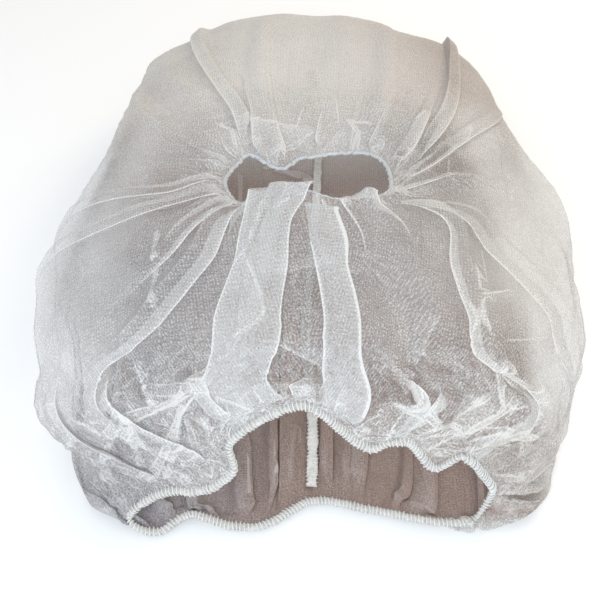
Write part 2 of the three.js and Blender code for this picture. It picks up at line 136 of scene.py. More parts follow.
# Strips where the slack cloth lies folded flat: turn and station of both ends, width at each end, and how
# white they are. Strips of the first list may cross those of the second.
strips = [
    (146.7, 0.695, 137.7, 0.914, 3.3, 1.4, 0.8), (129.3, 0.91, 89, 0.968, 4.3, 1.4, 0.7),
    (128.7, 0.912, 110.3, 0.992, 4.3, 8.6, 0.9), (162, 0.91, 154.3, 0.928, 1.4, 3.8, 0.8),
    (154.3, 0.928, 134, 0.964, 3.8, 1, 0.8), (145, 0.878, 143.7, 0.958, 1, 1, 0.6),
    (250, 0.89, 234.3, 0.896, 0.6, 1.4, 0.7), (234.3, 0.896, 231.7, 0.928, 2.4, 6.7, 0.7),
    (222.7, 0.914, 213.7, 0.916, 4.3, 3.8, 0.8), (210.7, 0.868, 202, 0.894, 5.7, 1.4, 0.6),
    (204.7, 0.912, 248, 0.986, 1.4, 4.8, 0.8), (207, 0.94, 220.3, 0.976, 1, 4.8, 0.6),
    (244, 0.918, 283.3, 0.982, 1, 6.7, 0.7), (231, 0.932, 277.3, 0.962, 2.9, 1.9, 0.8),
    (225, 0.936, 247.7, 0.978, 1.9, 1.9, 0.6), (225.3, 0.23, 206, 0.471, 1.9, 1.4, 0.6),
    (345, 0.74, 351, 0.75, 3, 6, 1), (358, 0.76, 3, 0.77, 7, 4, 1),
    (20.8, 0.087, 29.3, 0.058, 1.5, 2.5, 0.9), (312.8, 0.117, 316.3, 0.087, 1.5, 2, 0.8),
    (348.2, 0.031, 360, 0.063, 3, 5, 0.6), (67.1, 0.045, 55.5, 0.112, 2, 4.5, 0.8),
]
cross_strips = [
    (146.7, 0.695, 132.3, 0.89, 4.3, 1.9, 0.8), (136.3, 0.764, 128.7, 0.912, 4.8, 4.3, 0.9),
    (138, 0.89, 132.7, 0.968, 1.9, 3.8, 0.7), (230.7, 0.926, 222.7, 0.914, 4.8, 4.3, 0.8),
    (211, 0.784, 213.3, 0.912, 0.5, 2.9, 0.7), (213.7, 0.916, 202.7, 0.892, 1.9, 1.9, 0.8),
    (206, 0.924, 240.7, 0.988, 1, 2.9, 0.6), (242.3, 0.916, 238.7, 0.944, 1, 1, 0.8),
    (226.7, 0.924, 222.7, 0.934, 2.9, 1.9, 0.7), (236.3, 0.902, 286, 0.924, 1.4, 1, 0.5),
    (197.7, 0.776, 203, 0.884, 3.8, 4.8, 0.7), (351, 0.75, 358, 0.76, 6, 7, 1),
    (340, 0.74, 341, 0.78, 3, 2, 0.6), (29.3, 0.058, 33.7, 0.006, 2.5, 3, 0.9),
    (20.8, 0.087, 32.8, 0.087, 1.5, 1, 0.8), (316.3, 0.087, 308.2, 0.035, 2, 1.5, 0.8),
    (332.1, 0.031, 347.1, 0.027, 3, 2.5, 0.6), (55.5, 0.112, 50.5, 0.173, 4.5, 2.5, 0.8),
]
# Short creases that run out from the hems: bends of the hem, how many, station, least and most reach in
# stations, how far in degrees they lean, and the most sharpness.
hem_creases = [(neck_bends, 60, 1, 0.05, 0.14, 9, 0.6), (face_bends, 26, 0, 0.03, 0.1, 4, 0.45)]
# Slack of the cloth, round the hood and along it: the share that holds everywhere, then shares at the face
# hem and at the neck hem, each with the millimetres over which it dies away.
round_slack = (0.02, [(0.18, 14), (0.05, 45)], [(0.16, 18), (0.10, 60)])
along_slack = (0.010, [(0.02, 30)], [(0.02, 60)])
# Settling, from a coarse grid to the full one, so that large buckles carry small ones: coarseness, share of
# the slack, rounds, evening for stiffness, hold on the laid-out form. No cloth goes below the lowest.
settling = [(4, 0.6, 140, 0.08, 0.010), (2, 0.9, 100, 0.05, 0.010), (1, 1.0, 60, 0.02, 0.020)]
settle_firm, settle_seed, lowest = 0.9, 11, 0.3


def cubic(t, step, start, slope, end, end_slope):
    """Cubic piece over one step between two values, with the slope at each; t goes from 0 to 1."""
    s = 1 - t
    return ((1 + 2 * t) * s * s * start + t * s * s * step * slope
            + t * t * (3 - 2 * t) * end + t * t * (t - 1) * step * end_slope)


def through_rows(at, values, where):
    """Smooth curve through a table's rows that never overshoots them: cubic pieces with limited slopes."""
    slant = np.diff(values) / np.diff(at)
    slope = np.concatenate([slant[:1], np.zeros(len(at) - 2), slant[-1:]])
    before, after = np.diff(at)[:-1], np.diff(at)[1:]
    mean = (slant[:-1] * after + slant[1:] * before) / (before + after)
    limit = 3 * np.minimum(np.abs(slant[:-1]), np.abs(slant[1:]))
    slope[1:-1] = np.where(slant[:-1] * slant[1:] > 0, np.sign(mean) * np.minimum(np.abs(mean), limit), 0)
    i = np.clip(np.searchsorted(at, where, side="right") - 1, 0, len(at) - 2)
    step = at[i + 1] - at[i]
    return cubic((where - at[i]) / step, step, values[i], slope[i], values[i + 1], slope[i + 1])


def rise(value, start, over):
    """Straight rise from 0 at the start to 1 after a stretch; a negative stretch turns it round."""
    return np.clip((value - start) / over, 0, 1)


def length_of(vector):
    """Root of the summed squares."""
    return np.linalg.norm(vector, axis=-1)


def unit(vector):
    """The same directions, with length 1."""
    return vector / (length_of(vector)[..., None] + 1e-9)


def way_along(path):
    """Length of a path, or of each column of a grid, up to each of its points."""
    step = length_of(np.diff(path, axis=0))
    return np.concatenate([0 * step[:1], np.cumsum(step, 0)])


def closed_curve(bends, turn):
    """Smooth closed curve through a hem's bends: cubic pieces, each slope taken across its neighbours."""
    angle, point = np.radians(bends[:, 0]), bends[:, 1:]
    span = np.mod(np.roll(angle, -1) - np.roll(angle, 1), 2 * np.pi)
    slope = (np.roll(point, -1, 0) - np.roll(point, 1, 0)) / span[:, None]
    turn = np.mod(turn, 2 * np.pi)
    i = np.searchsorted(angle, turn, side="right") - 1
    j = (i + 1) % len(angle)
    step = np.mod(angle[j] - angle[i], 2 * np.pi)
    t = (np.mod(turn - angle[i], 2 * np.pi) / step)[..., None]
    return cubic(t, step[..., None], point[i], slope[i], point[j], slope[j])


def loop_point(turn, station):
    """Squared oval through a loop's far, side and near points, which slide with the station."""
    row = {name: through_rows(loops[:, 0], loops[:, k], station) for k, name in enumerate(loop_names)}
    power = 2 / row["square"]
    reach = (np.abs(np.sin(turn)) ** power + np.abs(np.cos(turn)) ** power) ** (-1 / power)
    s, c = np.sin(turn) * reach, np.cos(turn) * reach
    x = row["half_width"] * s * (1 - row["taper"] * c)
    y, z = (row["side" + axis] + (row["far" + axis] - row["near" + axis]) / 2 * c
            + ((row["far" + axis] + row["near" + axis]) / 2 - row["side" + axis]) * c * c
            for axis in ("_y", "_z"))
    return np.stack([x, y + np.where(c > 0, row["corner"] * np.sin(2 * turn) ** 2, 0), z], -1)


def smooth_hood(turn, station):
    """Loops in the middle of the sheet, running out into the bent line of each hem."""
    face_reach, neck_reach = 0.28, 0.22
    face = rise(station, face_reach, -face_reach)[..., None] ** 2
    neck = rise(station, 1 - neck_reach, neck_reach)[..., None] ** 2
    point = loop_point(turn, station)
    point = point + face * (closed_curve(face_bends, turn) - loop_point(turn, 0 * station))
    return point + neck * (closed_curve(neck_bends, turn) - loop_point(turn, 0 * station + 1))


def fold_strength(start, end, station, ease_in, ease_out):
    """Height of a fold along its run: eased up over the first stretch, level, eased down over the last."""
    up, down = rise(station, start, ease_in), rise(station, end, -ease_out)
    return up * up * (3 - 2 * up) * down * down * (3 - 2 * down)


def pace(turn, station):
    """Millimetres of smooth hood for each radian of turn, from points a little to both sides."""
    step = 0.02
    gap = smooth_hood(turn + step, station) - smooth_hood(turn - step, station)
    return length_of(gap) / (2 * step)


def track_turn(track, station):
    """Turn of a crest or edge at every station, in radians."""
    return np.radians(through_rows(track_at, np.array(track, float), station))


def crumple(point, spots, size):
    """Crushed cloth: a point stands higher the further it is from the nearest of some scattered spots, so
    sharp ridges run where two are equally near. Gives the height, the distance from the ridge with a sign
    for the side, a strength for each ridge, and a tone for each spot."""
    stretch = np.array([1.0, 0.7, 0.8])
    first = np.full(point.shape[:2], 1e9)
    second = first.copy()
    whose, other = np.zeros(first.shape, int), np.zeros(first.shape, int)
    for k, spot in enumerate(spots):
        far = (((point - spot) * stretch) ** 2).sum(-1)
        closest, next_closest = far < first, (far >= first) & (far < second)
        second = np.where(closest, first, np.where(next_closest, far, second))
        other = np.where(closest, whose, np.where(next_closest, k, other))
        first = np.where(closest, far, first)
        whose = np.where(closest, k, whose)
    between = length_of((spots[whose] - spots[other]) * stretch)
    offset = (second - first) / (2 * between + 1e-9) * np.where(whose < other, 1, -1)
    return np.minimum(first / size ** 2, 2), offset, (whose * 5 + other * 5) % 8 / 7, whose * 3 % 10 / 9


def from_line(point, outward, turn, at, last_turn, last_at):
    """Points seen from a straight line between two places on the smooth hood: how far along it, how far
    across with a sign for the side, how far off that layer of the sheet, and the line's length."""
    ends = smooth_hood(np.radians([turn, last_turn]), np.array([at, last_at]))
    length = length_of(ends[1] - ends[0])
    ahead = (ends[1] - ends[0]) / length
    from_start = point - ends[0]
    across = (from_start * np.cross(ahead, outward)).sum(-1)
    return from_start @ ahead, across, np.abs((from_start * outward).sum(-1)), length


def by_a_line(offset):
    """1 up to 3 millimetres from a line, falling to 0 at 6."""
    return rise(np.abs(offset), 6, -3)


def press(point, outward):
    """Pressed creases on the sheet: for every point the distance across the nearest crease, with a sign for
    the side, its sharpness, and how far the cloth lies double beside it, which fades with the distance."""
    sharp, double, best = (np.zeros(point.shape[:2]) for _ in range(3))
    offset = np.full(point.shape[:2], 99.0)
    past_end, layer, bright = 4, 8, 3
    chance = np.random.default_rng(31)
    lines = list(creases)
    for bends, count, hem, least, most, lean, most_sharp in hem_creases:
        round_hem = np.linspace(0, 2 * np.pi, 721)
        gone = way_along(closed_curve(bends, round_hem))
        places = (np.arange(count) + chance.uniform(0, 1, count)) / count
        starts = np.degrees(np.interp(places * gone[-1], gone, round_hem))
        stops = starts + chance.normal(0, lean, count)
        reaches = np.abs(hem - chance.uniform(least, most, count))
        strengths, sides = chance.uniform(0.3, 1, count) * most_sharp, chance.choice([-1, 1], count)
        lines += zip(starts, np.abs(hem - 0.008 + 0 * starts), stops, reaches, strengths, sides)
    for *ends, strength, side in lines:
        gone, away, depth, length = from_line(point, outward, *ends)
        beyond = np.maximum(np.maximum(-gone, gone - length), 0)
        there = rise(beyond, past_end, -past_end) * rise(depth, 2 * layer, -layer)
        near = there * strength * np.exp(-(away / bright) ** 2)
        offset = np.where(near > best, away, offset)
        sharp = np.where(near > best, there * strength, sharp)
        best = np.maximum(best, near)
        fading = np.exp(-np.abs(away) / np.clip(length / 3, 4, 16))
        double = np.maximum(double, abs(side) * there * (away * side > 0) * fading)
    return offset, sharp * by_a_line(offset), double


def strip_depth(point, outward, rows):
    """How far each point lies inside a straight strip, below nought outside its long edges. A strip on
    another layer of the sheet doesn't count. Gives also the strip's whiteness, which fades at its ends."""
    outside, layer, end_fade = -20.0, 14, 5
    inside, white = np.full(point.shape[:2], outside), np.zeros(point.shape[:2])
    for *ends, width, last_width, strength in rows:
        gone, away, off_layer, length = from_line(point, outward, *ends)
        half = (width + (last_width - width) * rise(gone, 0, length)) / 2
        fade = rise(np.minimum(gone, length - gone), -end_fade / 2, end_fade)
        depth = np.where((off_layer < layer) & (fade > 0), half - np.abs(away), outside)
        white = np.where(depth > inside, strength * fade, white)
        inside = np.maximum(inside, depth)
    return inside, white


def lay_out(columns, rows, tucked_in):
    """Grid of the sheet before it settles. Columns follow the folds' tracks, and rows crowd at the hems. A
    soft fold lifts the sheet by half a cosine wave. In a tuck the columns run from the foot out to its edge
    and back, one layer over the other, and spread over the sheet where it has run out. The nearest column
    is set on its edge, to keep it crisp. Without tucked_in the tucks stay shut."""
    row_crowding, least_gap, foot_half, let_go = 0.3, 2.5, 1.2, 0.85
    turn_step, fold_ease, ramp = 0.02, 0.15, 6
    share = np.arange(columns) / columns
    station = np.linspace(0, 1, rows)
    station = station - row_crowding / (2 * np.pi) * np.sin(2 * np.pi * station)
    wide = np.repeat(station[:, None], columns, 1)
    anchors = [track_turn(fold[1], station) for fold in folds]
    edges, strengths = [], []
    for name, track, width, start, end, opens, closes, height in tucks:
        edge = track_turn(track, station)
        strength = fold_strength(start, end, station, opens, closes)
        anchors.append(edge + width * strength / pace(edge, station))
        edges.append(edge)
        strengths.append(strength)
    order = np.argsort([anchor[rows // 3] for anchor in anchors])
    ranked = np.stack(anchors, 1)[:, order]
    for k in range(1, len(order)):
        before = ranked[:, k - 1]
        ranked[:, k] = np.maximum(ranked[:, k], before + least_gap / pace(before, station))
    after = np.concatenate([ranked[:, 1:], ranked[:, :1] + 2 * np.pi], 1)
    gap = (after - ranked) * pace((after + ranked) / 2, np.repeat(station[:, None], len(order), 1))
    chance = np.random.default_rng(5)
    marks, turns, runs = [], [], []
    cloth = 0.0
    for k, who in enumerate(order):
        foot = ranked[:, k]
        if who < len(folds):
            marks.append(cloth)
            turns.append(foot)
        else:
            mine = who - len(folds)
            width, height = tucks[mine][2], tucks[mine][-1]
            half = foot_half / pace(foot, station)
            reach = (edges[mine] - foot) * pace(foot, station) * (strengths[mine] > 0)
            last = cloth + 2 * abs(width)
            marks += [cloth, last]
            turns += [foot - half, foot + half]
            runs.append((cloth, last, reach, height * strengths[mine], -np.sign(width)))
            cloth = last
        small = []
        for spacing, at, least, most, short, long, height in (face_gathers, neck_gathers):
            count = int(np.interp(at, station, gap[:, k]) / spacing)
            places = (np.arange(count) + chance.uniform(0.25, 0.75, count)) / max(count, 1)
            for place in places:
                width = chance.uniform(least, most) * chance.choice([-1, 1])
                far = chance.uniform(short, long)
                if at < 0.5:
                    strength = fold_strength(0.0, far, station, 0.04, far * 0.8)
                else:
                    strength = fold_strength(1 - far, 1.0, station, far * 0.6, 0.035)
                lies = np.cos(foot[-1]) > 0.6 and at > 0.5
                small.append((place, width * (0.6 if lies else 1), strength, -height if lies else height))
        base = gap[:, k].mean()
        last_place = 0.0
        for place, width, strength, height in sorted(small, key=lambda row: row[0]):
            cloth += (place - last_place) * base
            last_place = place
            last = cloth + 2 * abs(width)
            runs.append((cloth, last, width * strength, height * strength, np.sign(width)))
            cloth = last
        cloth += (1 - last_place) * base
    for first, last, reach, height, side in runs:
        edge = (first + last) / 2 / cloth
        share[min(round(edge * columns), columns - 1)] = edge
    weight = np.ones((rows, columns))
    for first, last, reach, height, side in runs:
        inside = (share >= first / cloth) & (share < last / cloth)
        weight = weight * (1 - let_go * inside * np.abs(reach)[:, None] / (np.abs(reach).max() + 1e-9))
    walked = np.concatenate([np.zeros((rows, 1)), np.cumsum(weight, 1)], 1)
    marks = np.append(np.array(marks) / cloth, 1)
    turns = np.concatenate([np.stack(turns, 1), turns[0][:, None] + 2 * np.pi], 1)
    at_share = np.linspace(0, 1, columns + 1)
    turn = np.stack([np.interp(walk[:-1], np.interp(marks, at_share, walk), row)
                     for walk, row in zip(walked, turns)])
    point = smooth_hood(turn, wide)
    tangent = smooth_hood(turn + turn_step, wide) - smooth_hood(turn - turn_step, wide)
    speed = length_of(tangent) / (2 * turn_step)
    tangent = unit(tangent)
    out = unit(np.cross(tangent, np.gradient(point, axis=0)))
    lift, lean, layer, inner, edge_sharp, tucked = (np.zeros_like(speed) for _ in range(6))
    edge_offset = np.full_like(speed, 99.0)
    for (name, track, start, end, half_width, height), crest in zip(folds, anchors):
        away = ((turn - crest[:, None] + np.pi) % (2 * np.pi) - np.pi) * speed / half_width
        crest_shape = np.where(np.abs(away) < 1, 0.5 + 0.5 * np.cos(np.pi * away), 0)
        strength = fold_strength(start, end, station, fold_ease, fold_ease)
        lift = lift + height * strength[:, None] * crest_shape
    for first, last, reach, height, side in runs:
        along = (share * cloth - first) / (last - first)
        inside = (along >= 0) & (along < 1)
        lean = lean + reach[:, None] * inside * (1 - np.abs(2 * along - 1))
        from_edge = (along - 0.5) * (last - first)
        nearer = np.abs(from_edge) < np.abs(edge_offset)
        edge_offset = np.where(nearer, from_edge, edge_offset)
        opened = np.abs(reach) / (last - first) * 2
        edge_sharp = np.where(nearer, opened[:, None], edge_sharp)
        tucked = np.maximum(tucked, inside * opened[:, None])
        along = along if side < 0 else 1 - along
        past = np.where(along > 1, np.exp(-(((along - 1) * (last - first)) / ramp) ** 2), 0)
        stack = np.where(inside, np.interp(along, (0, 0.5, 1), (0, 0.7, 1)), past)
        layer = np.maximum(layer, height[:, None] * stack)
        inner = np.minimum(inner, height[:, None] * stack)
    lift = lift + tucked_in * (layer + inner)
    degrees = np.degrees(turn)
    point = point + out * lift[..., None] + tangent * (tucked_in * lean)[..., None]
    for middle, first, last, half_turn, across, along, up in puffs:
        away = ((degrees - middle + 180) % 360 - 180) / half_turn
        near = np.exp(-away ** 2) * np.sin(np.pi * rise(wide, first, last - first)) ** 2
        point = point + near[..., None] * np.array([across, along, up])
    point[..., 2] = np.maximum(point[..., 2], lowest)
    return point, station, degrees, edge_offset, edge_sharp, tucked


def spread(field, columns, rows):
    """A coarse grid's values read on a finer one, straight between its points, round the closed columns."""
    across = np.arange(columns) * field.shape[1] / columns
    i = across.astype(int)
    t = (across - i)[None, :, None]
    wide = field[:, i] * (1 - t) + field[:, (i + 1) % field.shape[1]] * t
    up = np.linspace(0, field.shape[0] - 1, rows)
    j = np.minimum(up.astype(int), field.shape[0] - 2)
    t = (up - j)[:, None, None]
    return wide[j] * (1 - t) + wide[j + 1] * t


def draw(a, b, rest):
    """Moves two sets of points together or apart by a part of the difference from their rest length."""
    gap = b - a
    length = np.sqrt((gap * gap).sum(-1)) + 1e-9
    move = (0.5 * settle_firm * (1 - rest / length))[..., None] * gap
    a += move
    b -= move


def outward_of(point):
    """Unit direction out of the sheet at every point of its grid, square to the row and the column."""
    return unit(np.cross(np.roll(point, -1, 1) - np.roll(point, 1, 1), np.gradient(point, axis=0)))


def slack_at(parts, face, neck):
    """Slack that holds everywhere, plus shares that die away with the length of sheet from either hem."""
    everywhere, by_face, by_neck = parts
    for_face = sum(share * np.exp(-face / reach) for share, reach in by_face)
    return everywhere + for_face + sum(share * np.exp(-neck / reach) for share, reach in by_neck)


def settle(point, start, share, rounds, even, hold, seed):
    """Lets the slack cloth buckle: edges seek lengths longer than laid out by the slack, which is less
    where the cloth lies on the table. Neighbours are evened for stiffness, a weak pull keeps the laid-out
    form, and both hems stay where they are."""
    start_push = 1.2
    face = way_along(point)
    neck = face[-1:] - face
    lies = rise(point[..., 2], 8, -5)
    slack_round = share * slack_at(round_slack, face, neck) * (1 - 0.6 * lies)
    slack_along = share * slack_at(along_slack, face, neck) * (1 - 0.7 * lies)
    rest_round = length_of(np.roll(point, -1, 1) - point) * (1 + slack_round)
    rest_along = length_of(np.diff(point, axis=0)) * (1 + slack_along[:-1])
    both = 1 + 0.5 * (slack_round + slack_along)[:-1]
    rest_rising = length_of(np.roll(point, -1, 1)[1:] - point[:-1]) * both
    rest_falling = length_of(np.roll(point, 1, 1)[1:] - point[:-1]) * both
    cloth = start.copy()
    chance = np.random.default_rng(seed).normal(size=point.shape[:2])
    cloth += outward_of(point) * (chance * start_push * np.sqrt(slack_round))[..., None]
    for _ in range(rounds):
        draw(cloth[:, 0::2], cloth[:, 1::2], rest_round[:, 0::2])
        draw(cloth[:, 1:-1:2], cloth[:, 2::2], rest_round[:, 1:-1:2])
        draw(cloth[:, -1], cloth[:, 0], rest_round[:, -1])
        for first in (0, 1):
            low, high = cloth[first:-1:2], cloth[first + 1::2]
            draw(low, high, rest_along[first::2])
            draw(low[:, :-1], high[:, 1:], rest_rising[first::2, :-1])
            draw(low[:, -1], high[:, 0], rest_rising[first::2, -1])
            draw(low[:, 1:], high[:, :-1], rest_falling[first::2, 1:])
            draw(low[:, 0], high[:, -1], rest_falling[first::2, 0])
        cloth += 0.5 * even * (np.roll(cloth, 1, 1) + np.roll(cloth, -1, 1) - 2 * cloth)
        cloth[1:-1] += 0.5 * even * (cloth[2:] + cloth[:-2] - 2 * cloth[1:-1])
        cloth += hold * (point - cloth)
        cloth[..., 2] = np.maximum(cloth[..., 2], lowest)
        cloth[0], cloth[-1] = point[0], point[-1]
    return cloth


shift = np.zeros((rows // 4, columns // 4, 3))
for level, share, rounds, even, hold in settling:
    wide, high = columns // level, rows // level
    flat_form, station, degrees, edge_offset, edge_sharp, tucked = lay_out(wide, high, level == 1)
    begin = flat_form + spread(shift, wide, high)
    sheet = settle(flat_form, begin, share, rounds, even, hold, settle_seed + level)
    shift = sheet - flat_form


def bend_at(point):
    """Sharpest turn of the sheet at each point, in radians, between the edges before and after it."""
    def angle(before, after):
        size = length_of(before) * length_of(after) + 1e-9
        return np.arccos(np.clip((before * after).sum(-1) / size, -1, 1))
    across = angle(point - np.roll(point, 1, 1), np.roll(point, -1, 1) - point)
    along = np.zeros_like(across)
    along[1:-1] = angle(point[1:-1] - point[:-2], point[2:] - point[1:-1])
    return np.maximum(across, along)


def put(name, data):
    """New object of the scene with that mesh, lamp or camera."""
    made = bpy.data.objects.new(name, data)
    bpy.context.scene.collection.objects.link(made)
    return made


def grid_piece(name, point, closed_rows):
    """Mesh object from a grid of points in millimetres of the table; its columns are always closed."""
    high, wide = point.shape[:2]
    index = np.arange(high * wide).reshape(high, wide)
    index = np.concatenate([index, index[:, :1]], 1)
    if closed_rows:
        index = np.concatenate([index, index[:1]], 0)
    corner = (index[:-1, :-1], index[:-1, 1:], index[1:, 1:], index[1:, :-1])
    mesh = bpy.data.meshes.new(name)
    place = (point.reshape(-1, 3) - (0, middle_y, 0)) * 0.001
    mesh.from_pydata(place.tolist(), [], np.stack(corner, -1).reshape(-1, 4).tolist())
    mesh.shade_smooth()
    return put(name, mesh)


class Shade:
    """One socket of a shader tree. Sums, differences and products of sockets add their Math nodes."""

    def __init__(self, tree, socket=None):
        self.tree = tree
        self.socket = socket

    def node(self, kind, inputs=None, output=0, **settings):
        """Any node: its settings come first, then each input gets a value or a link."""
        made = self.tree.nodes.new(kind)
        for name, value in settings.items():
            setattr(made, name, value)
        for name, value in (inputs or {}).items():
            if isinstance(value, Shade):
                self.tree.links.new(value.socket, made.inputs[name])
            else:
                made.inputs[name].default_value = value
        return Shade(self.tree, made.outputs[output])

    def math(self, operation, *others):
        return self.node("ShaderNodeMath", dict(enumerate((self, *others))), operation=operation)

    def __add__(self, other):
        return self.math("ADD", other)

    def __sub__(self, other):
        return self.math("SUBTRACT", other)

    def __rsub__(self, other):
        return self.node("ShaderNodeMath", {0: other, 1: self}, operation="SUBTRACT")

    def __mul__(self, other):
        return self.math("MULTIPLY", other)

    def __abs__(self):
        return self.math("ABSOLUTE")

    __radd__, __rmul__ = __add__, __mul__

    def parts(self):
        """The three numbers of a vector."""
        split = self.node("ShaderNodeSeparateXYZ", {0: self}).socket.node.outputs
        return [Shade(self.tree, split[name]) for name in "XYZ"]

    def steps(self, low, high):
        """Smooth rise from 0 at low to 1 at high."""
        return self.node("ShaderNodeMapRange", {"Value": self, "From Min": low, "From Max": high},
                         interpolation_type="SMOOTHSTEP")

    def tint(self, low, high):
        """Colour that goes from low to high as this value goes from 0 to 1."""
        return self.node("ShaderNodeMix", {0: self, 6: low, 7: high}, 2, data_type="RGBA")

    def speckle(self, scale, detail):
        """Noise read on a vector."""
        return self.node("ShaderNodeTexNoise", {"Vector": self, "Scale": scale, "Detail": detail,
                                                "Roughness": 0.6, "Distortion": 0.6})


def new_material(name):
    """Fresh material: gives it, its Principled node and a Shade of its tree to start from."""
    made = bpy.data.materials.new(name)
    made.use_nodes = True
    return made, made.node_tree.nodes["Principled BSDF"], Shade(made.node_tree)


def plug(shader, name, value):
    """Links a worked-out value to one socket of a shader."""
    value.tree.links.new(value.socket, shader.inputs[name])


def bumps(shader, height, strength, distance):
    """Fine relief of a worked-out height on a shader's surface."""
    relief = {"Strength": strength, "Distance": distance, "Height": height}
    plug(shader, "Normal", height.node("ShaderNodeBump", relief))


# The ridges of the crushed cloth come last, out along the settled sheet, so that they stay crisp. Their
# spots are drawn in two bands of rows, closer towards the neck.
spot_size, facet_height, press_height = 14.0, 3.5, 2.0
chance = np.random.default_rng(23)
spot_rows = np.concatenate([chance.integers(20, 105, 150), chance.integers(105, 158, 230)])
spots = sheet[spot_rows, chance.integers(0, columns, len(spot_rows))]
facet, facet_offset, facet_sharp, facet_tone = crumple(sheet, spots, spot_size)
at = station[:, None]
from_back = np.abs((degrees + 180) % 360 - 180)
near_neck = rise(at, 0.60, 0.25) * rise(from_back, 30, 25)
crushed = (0.12 + 0.6 * near_neck) * (1 - 0.6 * tucked) * rise(at, 1, -0.05) * rise(at, 0, 0.2)
outward = outward_of(sheet)
for _ in range(6):
    outward = outward + np.roll(outward, 1, 1) + np.roll(outward, -1, 1)
    outward[1:-1] = outward[1:-1] + outward[2:] + outward[:-2]
    outward = unit(outward)
press_offset, press_sharp, double = press(sheet, outward)
pressed_up = press_height * press_sharp * np.exp(-np.abs(press_offset) / 3)
sheet = sheet + outward * (facet_height * crushed * (facet - 0.6) + pressed_up)[..., None]
strip_inside, strip_white = strip_depth(sheet, outward, strips)
cross_inside, cross_white = strip_depth(sheet, outward, cross_strips)
strip_lift = strip_white * rise(strip_inside, -0.5, 1) + cross_white * rise(cross_inside, -0.5, 1)
sheet = sheet + np.where(outward[..., 2:] < -0.5, -outward, outward) * strip_lift[..., None]
sheet[..., 2] = np.maximum(sheet[..., 2], lowest)
hood = grid_piece("hood_sheet", sheet, False)
hood.data.set_sharp_from_angle(angle=np.radians(65))

# Painted shade, with the brown of a table seen through the sheer cloth where the floor is pale, by place on
# the
# table and height: on the cloth that lies, less at the crown, at the outer neck hem and right of the chin,
# and on the low walls.
x, y, z = np.moveaxis(sheet, -1, 0)
far_right = rise(x, 10, 70) * rise(y, 10, 60)
crown = rise(y, 0, 60) * rise(at, 0.60, -0.08)
chin_right = rise(x, 10, 50) * rise(y, -70, 50) * rise(y, 90, -40)
# Painted shade inside the neck opening: the brown tone is laid there and made darker.
neck_shade = rise(from_back, 58, -8) * rise(at, 0.78, 0.06) * (0.9 - 0.35 * tucked)
lying_shade = rise(z, 12.5, -8.0) * rise(at, 0.52, 0.05)
lying_shade = lying_shade * np.maximum(np.maximum(rise(y, 160, -90), 0.35), far_right)
lying_shade = np.maximum(lying_shade, neck_shade) * (1 - rise(x, 40, 20) * rise(y, -174, -5)) * (1 - 0.25 * chin_right)
on_left = 0.72 * rise(x, -30, -50) * np.maximum(rise(y, -130, 60), 0.8)
on_right = 0.22 * rise(x, 60, 40) + 0.3 * far_right
on_back = 0.2 * rise(y, -60, 80)
low_wall_shade = rise(z, 62, -25) * rise(at, 0.46, 0.06) * np.maximum(np.maximum(on_back, on_right), on_left)
# Numbers kept at the points of the sheet for its material to read.
notes = {
    "crease": 0.5 * rise(bend_at(sheet), 0.25, 0.9),
    "tuck_offset": np.clip(edge_offset, -20, 20),
    "tuck_sharp": edge_sharp * by_a_line(edge_offset),
    "press_offset": np.clip(press_offset, -20, 20),
    "press_sharp": press_sharp,
    "facet_offset": facet_offset,
    "facet_sharp": facet_sharp * np.clip(crushed * 1.6, 0, 1) * by_a_line(facet_offset),
    "double": 0.8 * double + 1.5 * crushed * (facet_tone - 0.65),
    "strip_offset": strip_inside,
    "strip_sharp": strip_white,
    "cross_offset": cross_inside,
    "cross_sharp": cross_white,
    "neck_shade": neck_shade,
    "on_crown": crown,
    # Painted warm light at the crown and on the right side: a yellow tint on the white and a little more
    # cover.
    "painted_warm_light": np.maximum(crown, 0.7 * rise(x, 20, 70)),
    # Painted cool light on the left: there the painted shade turns from brown to grey.
    "painted_cool_light": rise(x, -10, -70) * rise(y, 70, -90),
    # Where the painted shade lies: the cloth is made more opaque there, and its colour goes to the brown
    # tone.
    "painted_shade_cover": np.maximum(lying_shade, low_wall_shade * rise(y, -120, 60)),
    "seen_through_shade": np.maximum(np.maximum(lying_shade, low_wall_shade), 0.55 * far_right * crown),
}
for name, value in notes.items():
    layer = hood.data.attributes.new(name, "FLOAT", "POINT")
    layer.data.foreach_set("value", np.asarray(value, np.float32).ravel())

# Bright fold lines, partly thicker cloth, partly painted highlight: kind of fold, where the line thins and
# ends in millimetres, brightness.
fold_lines_and_highlights = [("tuck", 0.2, 1.1, 0.7), ("press", 0.1, 0.7, 1.0), ("facet", 0.1, 0.6, 0.3),
                ("strip", 0.1, 0.7, 0.7), ("cross", 0.1, 0.7, 0.7)]
# How much each note adds to the cover of the sheer cloth.
covering = [("double", 0.28), ("crease", 0.35), ("on_crown", 0.42), ("painted_warm_light", 0.08)]
bond_pitch, plain_cover, least_cover, most_cover = 0.0030, 0.325, 0.10, 0.97
cloth, cloth_shader, base = new_material("sheer_non_woven")
mark = {name: base.node("ShaderNodeAttribute", output=2, attribute_name=name) for name in notes}
table_place = base.node("ShaderNodeTexCoord", output=3)
from_side, from_front, up = table_place.parts()
across, along = abs(from_side) - up, from_front - up
slants = (across + along, across - along)
rising, falling = ((slant * (2 * np.pi / bond_pitch)).math("SINE") for slant in slants)
bond = (rising * falling).steps(0.05, 0.7)
fibres = table_place.speckle(1500, 1).steps(0.34, 0.66)
clouds = table_place.speckle(60, 1)
line = 0.0
for fold, thins, ends, bright in fold_lines_and_highlights:
    found = (1 - abs(mark[fold + "_offset"]).steps(thins, ends)) * mark[fold + "_sharp"] * bright
    line = found.math("MAXIMUM", line)
folded = sum(mark[fold + "_offset"].steps(-0.2, 0.3) * mark[fold + "_sharp"] for fold in ("strip", "cross"))
